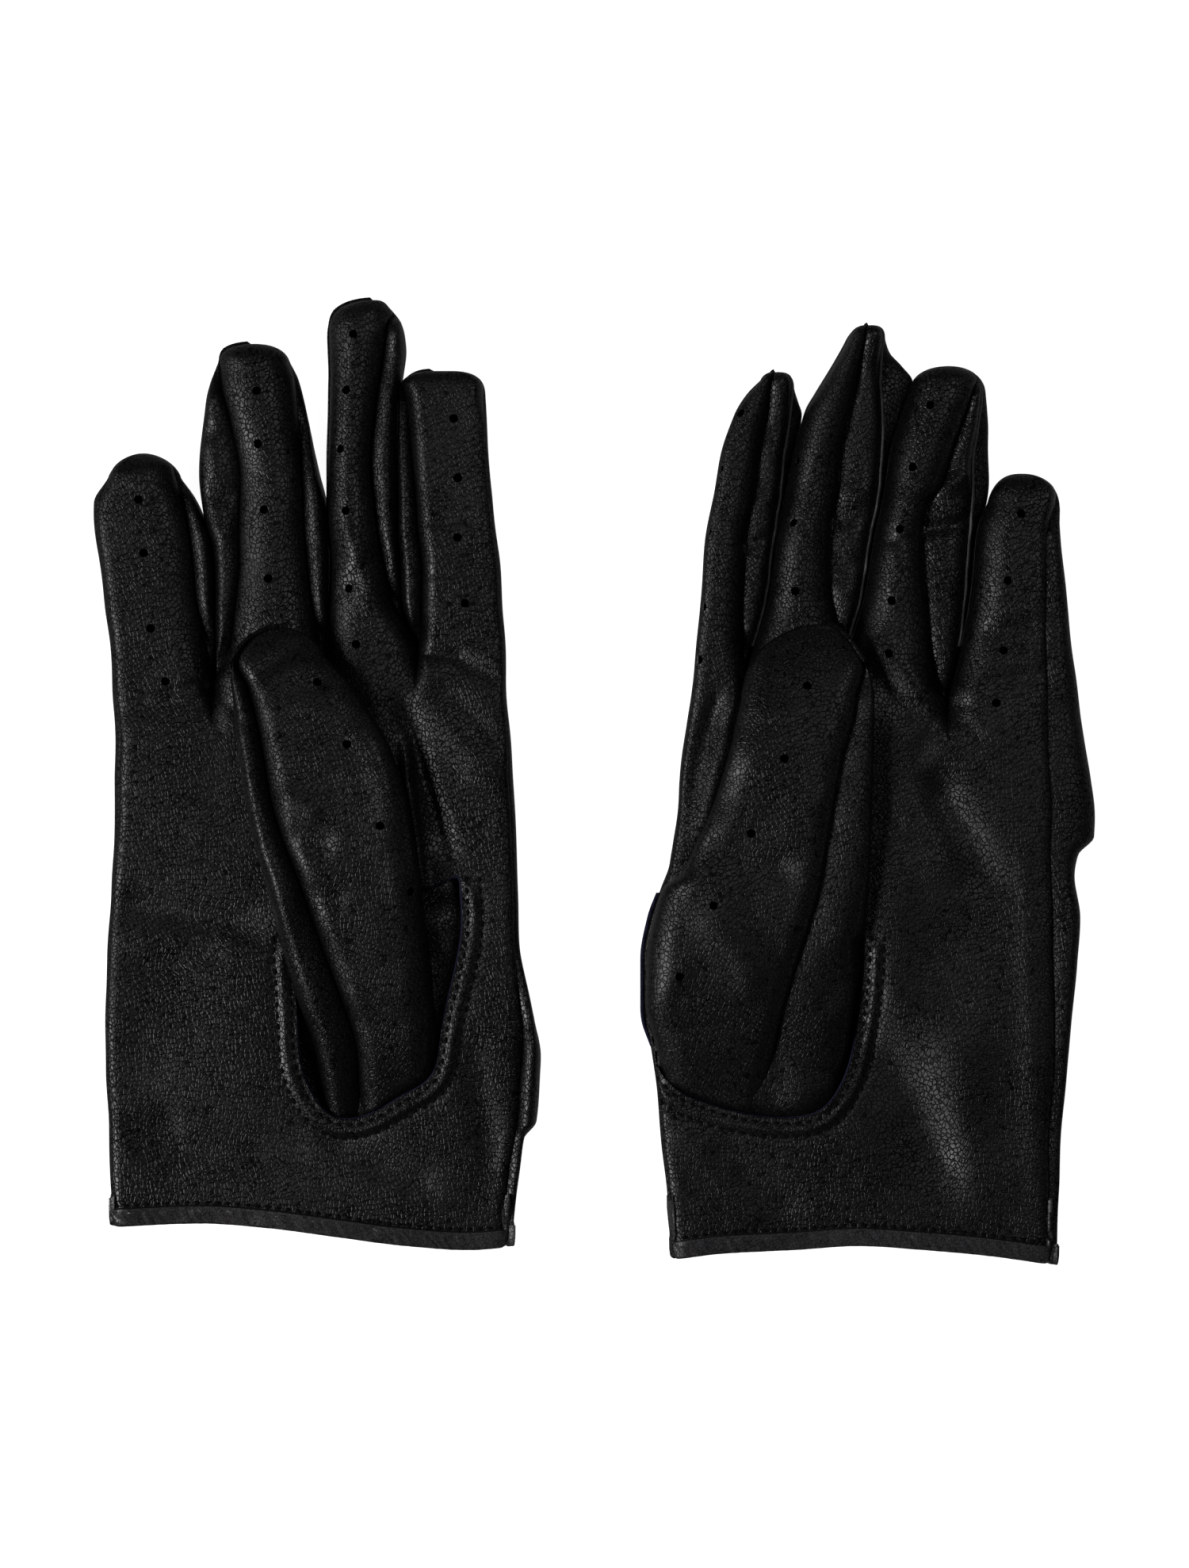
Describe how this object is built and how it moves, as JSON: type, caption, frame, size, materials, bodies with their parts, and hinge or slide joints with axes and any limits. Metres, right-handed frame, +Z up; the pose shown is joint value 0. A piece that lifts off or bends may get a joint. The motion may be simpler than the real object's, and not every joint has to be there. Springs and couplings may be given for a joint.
{
  "type": "leather driving gloves",
  "caption": "Pair of black leather driving gloves lying palm up, with perforated fingers, folded thumbs, an open back, a bound mouth and a snap strap at the wrist.",
  "frame": {"origin": "under the middle of the pair, on the table the gloves lie on", "axes": "+X across the pair towards the left-hand glove, +Y towards the fingertips, +Z up, away from the table"},
  "size_m": [0.238, 0.2345, 0.0264],
  "materials": {
    "leather": "satin, fine pebbled grain",
    "lining": "matt knit",
    "snap_metal": "black nickel, satin"
  },
  "bodies": {
    "right_hand": {"right_palm_panel": "leather", "right_palm_lining": "lining", "right_back_panel": "leather", "right_wrist_flap": "leather", "right_fourchette_bases": "leather", "right_hem_binding": "leather", "right_thumb_root": "leather", "right_strap_base": "leather", "right_snap_stud": "snap_metal", "right_snap_post": "snap_metal"},
    "right_pinky": {"right_pinky_front": "leather", "right_pinky_back": "leather", "right_pinky_fourchette": "leather"},
    "right_ring": {"right_ring_front": "leather", "right_ring_back": "leather", "right_ring_inner_fourchette": "leather", "right_ring_outer_fourchette": "leather"},
    "right_middle": {"right_middle_front": "leather", "right_middle_back": "leather", "right_middle_inner_fourchette": "leather", "right_middle_outer_fourchette": "leather"},
    "right_index": {"right_index_front": "leather", "right_index_back": "leather", "right_index_fourchette": "leather"},
    "right_thumb": {"right_thumb_front": "leather", "right_thumb_back": "leather"},
    "right_strap": {"right_strap": "leather", "right_snap_cap": "snap_metal", "right_snap_socket": "snap_metal"},
    "left_hand": {"left_palm_panel": "leather", "left_palm_lining": "lining", "left_back_panel": "leather", "left_wrist_flap": "leather", "left_fourchette_bases": "leather", "left_hem_binding": "leather", "left_thumb_root": "leather", "left_strap_base": "leather", "left_snap_stud": "snap_metal", "left_snap_post": "snap_metal"},
    "left_pinky": {"left_pinky_front": "leather", "left_pinky_back": "leather", "left_pinky_fourchette": "leather"},
    "left_ring": {"left_ring_front": "leather", "left_ring_back": "leather", "left_ring_inner_fourchette": "leather", "left_ring_outer_fourchette": "leather"},
    "left_middle": {"left_middle_front": "leather", "left_middle_back": "leather", "left_middle_inner_fourchette": "leather", "left_middle_outer_fourchette": "leather"},
    "left_index": {"left_index_front": "leather", "left_index_back": "leather", "left_index_fourchette": "leather"},
    "left_thumb": {"left_thumb_front": "leather", "left_thumb_back": "leather"},
    "left_strap": {"left_strap": "leather", "left_snap_cap": "snap_metal", "left_snap_socket": "snap_metal"}
  },
  "joints": [
    {"name": "right_pinky_fold", "type": "hinge", "parent": "right_hand", "child": "right_pinky", "pos_m": [-0.1067, 0.042, 0.012], "axis": [1, 0, 0], "range_deg": [0, 70]},
    {"name": "right_ring_fold", "type": "hinge", "parent": "right_hand", "child": "right_ring", "pos_m": [-0.0798, 0.042, 0.012], "axis": [1, 0, 0], "range_deg": [0, 70]},
    {"name": "right_middle_fold", "type": "hinge", "parent": "right_hand", "child": "right_middle", "pos_m": [-0.0572, 0.042, 0.012], "axis": [1, 0, 0], "range_deg": [0, 70]},
    {"name": "right_index_fold", "type": "hinge", "parent": "right_hand", "child": "right_index", "pos_m": [-0.03545, 0.042, 0.012], "axis": [1, 0, 0], "range_deg": [0, 70]},
    {"name": "right_thumb_lift", "type": "hinge", "parent": "right_hand", "child": "right_thumb", "pos_m": [-0.055, -0.06, 0.0209], "axis": [0.9761, 0.2175, 0], "range_deg": [0, 75]},
    {"name": "right_strap_open", "type": "hinge", "parent": "right_hand", "child": "right_strap", "pos_m": [-0.0365, -0.084, 0.0028], "axis": [0, -1, 0], "range_deg": [0, 150]},
    {"name": "left_pinky_fold", "type": "hinge", "parent": "left_hand", "child": "left_pinky", "pos_m": [0.106, 0.042, 0.012], "axis": [1, 0, 0], "range_deg": [0, 70]},
    {"name": "left_ring_fold", "type": "hinge", "parent": "left_hand", "child": "left_ring", "pos_m": [0.08095, 0.042, 0.012], "axis": [1, 0, 0], "range_deg": [0, 70]},
    {"name": "left_middle_fold", "type": "hinge", "parent": "left_hand", "child": "left_middle", "pos_m": [0.05655, 0.042, 0.012], "axis": [1, 0, 0], "range_deg": [0, 70]},
    {"name": "left_index_fold", "type": "hinge", "parent": "left_hand", "child": "left_index", "pos_m": [0.03475, 0.042, 0.012], "axis": [1, 0, 0], "range_deg": [0, 70]},
    {"name": "left_thumb_lift", "type": "hinge", "parent": "left_hand", "child": "left_thumb", "pos_m": [0.042, -0.06, 0.0209], "axis": [0.9851, -0.1718, 0], "range_deg": [0, 75]},
    {"name": "left_strap_open", "type": "hinge", "parent": "left_hand", "child": "left_strap", "pos_m": [0.0345, -0.084, 0.0028], "axis": [0, 1, 0], "range_deg": [0, 150]},
    {"name": "left_glove_apart", "type": "slide", "parent": "right_hand", "child": "left_hand", "axis": [1, 0, 0], "range_m": [0, 0.05]}
  ]
}
